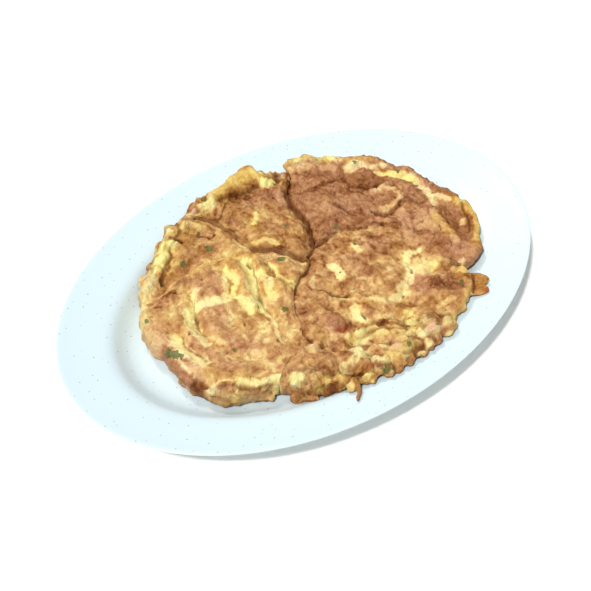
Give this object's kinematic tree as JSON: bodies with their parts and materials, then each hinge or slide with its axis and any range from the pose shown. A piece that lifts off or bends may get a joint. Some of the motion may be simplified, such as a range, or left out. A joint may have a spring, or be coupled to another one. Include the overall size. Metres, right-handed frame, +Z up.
{
  "type": "plate of egg foo young",
  "caption": "Flat fried egg omelette with scallion and ham bits, parted into wedges that stay together, on an oval white melamine-style plate.",
  "frame": {"origin": "on the table, under the middle of the plate", "axes": "+X along the plate's long axis towards the end nearest the omelette's torn flap, +Y across the plate, +Z up"},
  "size_m": [0.305, 0.212, 0.0283],
  "materials": {
    "plate": "smooth white melamine with sparse fine grey specks, satin gloss",
    "egg_top": "fried egg, golden brown, slightly oily",
    "egg_right": "fried egg, well browned, slightly oily",
    "egg_left": "fried egg, golden with pale yellow folds, slightly oily",
    "egg_bottom": "fried egg, brown with pale yellow patches, slightly oily"
  },
  "bodies": {
    "root": {"plate": "plate", "egg_top": "egg_top", "egg_right": "egg_right", "egg_left": "egg_left", "egg_bottom": "egg_bottom"}
  },
  "joints": []
}
